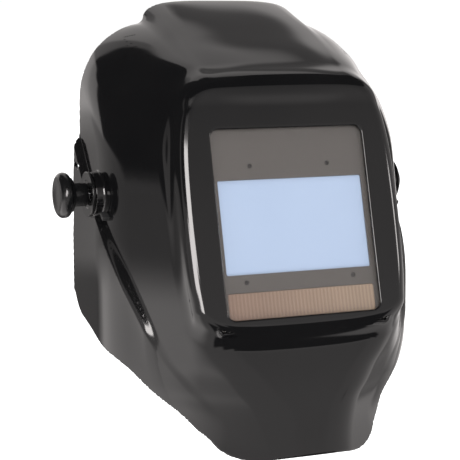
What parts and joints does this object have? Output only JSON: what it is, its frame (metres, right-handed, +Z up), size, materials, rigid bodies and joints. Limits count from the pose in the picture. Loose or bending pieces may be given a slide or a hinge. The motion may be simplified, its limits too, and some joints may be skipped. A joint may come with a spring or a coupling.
{
  "type": "welding helmet",
  "caption": "Glossy shell with an auto-darkening filter window, tilting on friction knobs about a ratchet headgear with crown straps and padded bands.",
  "frame": {"origin": "middle of the pivot axis between the two tension knobs, where the headgear carries the shell", "axes": "+Z up, -Y is the direction the wearer looks, X along the pivot axis with +X the wearer's left"},
  "size_m": [0.2491, 0.2817, 0.2882],
  "materials": {
    "shell_gloss": "high gloss black moulded nylon",
    "lens_clear": "clear polycarbonate sheet",
    "filter_grey": "warm grey satin plastic",
    "filter_case": "dark grey textured plastic",
    "filter_window": "light blue reflective filter glass",
    "solar_brown": "amorphous solar strip with fine lines",
    "sensor_black": "dark sensor dome",
    "board_green": "printed circuit board",
    "display_grey": "liquid crystal display",
    "button_rubber": "soft keys",
    "headgear_black": "satin black nylon",
    "knob_black": "glossy black phenolic",
    "washer_fibre": "friction fibre",
    "pad_fabric": "perforated foam backed cloth",
    "steel": "zinc plated steel",
    "brass": "turned brass"
  },
  "bodies": {
    "headgear": {"brow_band": "headgear_black", "sweatband": "pad_fabric", "strap_rivets": "headgear_black", "crown_strap_left": "headgear_black", "crown_strap_right": "headgear_black", "rear_strap": "headgear_black", "strap_snaps": "headgear_black", "ratchet_housing": "headgear_black", "ratchet_cover": "headgear_black", "ratchet_spring": "steel", "nape_pad": "pad_fabric", "side_arm_left": "headgear_black", "side_arm_right": "headgear_black", "arm_rivets_left": "steel", "arm_rivets_right": "steel", "pivot_bolt_left": "steel", "pivot_bolt_right": "steel", "pivot_sleeve_left": "headgear_black", "pivot_sleeve_right": "headgear_black", "friction_washer_left": "washer_fibre", "friction_washer_right": "washer_fibre", "stop_plate_left": "headgear_black", "stop_plate_right": "headgear_black", "outer_washer_left": "knob_black", "outer_washer_right": "knob_black"},
    "helmet_shell": {"shell": "shell_gloss", "front_cover_lens": "lens_clear", "filter_front_case": "filter_grey", "filter_rear_case": "filter_case", "filter_glass": "filter_window", "solar_cell": "solar_brown", "arc_sensors": "sensor_black", "circuit_board": "board_green", "control_display": "display_grey", "coin_cells": "steel", "inner_cover_lens": "lens_clear", "filter_retainer": "headgear_black", "latch_screw": "steel"},
    "power_button": {"power_button": "button_rubber"},
    "mode_button": {"mode_button": "button_rubber"},
    "minus_button": {"minus_button": "button_rubber"},
    "plus_button": {"plus_button": "button_rubber"},
    "battery_cap_left": {"battery_cap_left": "filter_case"},
    "battery_cap_right": {"battery_cap_right": "filter_case"},
    "retainer_latch": {"retainer_latch": "headgear_black"},
    "tension_knob_left": {"tension_knob_left": "knob_black", "threaded_insert_left": "brass"},
    "tension_knob_right": {"tension_knob_right": "knob_black", "threaded_insert_right": "brass"},
    "ratchet_knob": {"ratchet_knob": "headgear_black", "ratchet_pinion": "headgear_black"},
    "nape_band_left": {"nape_band_left": "headgear_black"},
    "nape_band_right": {"nape_band_right": "headgear_black"}
  },
  "joints": [
    {"name": "helmet_tilt", "type": "hinge", "parent": "headgear", "child": "helmet_shell", "pos_m": [0, 0, 0], "axis": [-1, 0, 0], "range_deg": [-12, 50]},
    {"name": "tension_knob_left_turn", "type": "hinge", "parent": "headgear", "child": "tension_knob_left", "pos_m": [0.114, 0, 0], "axis": [1, 0, 0], "range_deg": [-45, 180]},
    {"name": "tension_knob_right_turn", "type": "hinge", "parent": "headgear", "child": "tension_knob_right", "pos_m": [-0.12, 0, 0], "axis": [-1, 0, 0], "range_deg": [-45, 180]},
    {"name": "ratchet_turn", "type": "hinge", "parent": "headgear", "child": "ratchet_knob", "pos_m": [0, 0.062, -0.002], "axis": [0, 0.9848, -0.1736], "range_deg": [-75, 75]},
    {"name": "nape_left_slide", "type": "hinge", "parent": "headgear", "child": "nape_band_left", "pos_m": [0, 0.062, -0.002], "axis": [0, 0.1736, 0.9848], "range_deg": [-6, 6]},
    {"name": "nape_right_slide", "type": "hinge", "parent": "headgear", "child": "nape_band_right", "pos_m": [0, 0.062, -0.002], "axis": [0, 0.1736, 0.9848], "range_deg": [-6, 6]},
    {"name": "power_button_press", "type": "slide", "parent": "helmet_shell", "child": "power_button", "axis": [0, -0.9624, 0.2716], "range_m": [0, 0.0008], "stiffness_N_per_m": 400},
    {"name": "mode_button_press", "type": "slide", "parent": "helmet_shell", "child": "mode_button", "axis": [0, -0.9624, 0.2716], "range_m": [0, 0.0008], "stiffness_N_per_m": 400},
    {"name": "minus_button_press", "type": "slide", "parent": "helmet_shell", "child": "minus_button", "axis": [0, -0.9624, 0.2716], "range_m": [0, 0.0008], "stiffness_N_per_m": 400},
    {"name": "plus_button_press", "type": "slide", "parent": "helmet_shell", "child": "plus_button", "axis": [0, -0.9624, 0.2716], "range_m": [0, 0.0008], "stiffness_N_per_m": 400},
    {"name": "battery_cap_right_turn", "type": "hinge", "parent": "helmet_shell", "child": "battery_cap_right", "pos_m": [-0.038, -0.08734, -0.06202], "axis": [0, -0.9624, 0.2716], "range_deg": [0, 60]},
    {"name": "battery_cap_left_turn", "type": "hinge", "parent": "helmet_shell", "child": "battery_cap_left", "pos_m": [0.038, -0.08734, -0.06202], "axis": [0, -0.9624, 0.2716], "range_deg": [0, 60]},
    {"name": "retainer_latch_turn", "type": "hinge", "parent": "helmet_shell", "child": "retainer_latch", "pos_m": [0, -0.04873, 0.05749], "axis": [0, -0.9624, 0.2716], "range_deg": [0, 90]}
  ],
  "couplings": [
    {"joint": "nape_left_slide", "follows": "ratchet_turn", "ratio": -0.074534},
    {"joint": "nape_right_slide", "follows": "ratchet_turn", "ratio": 0.074534}
  ]
}
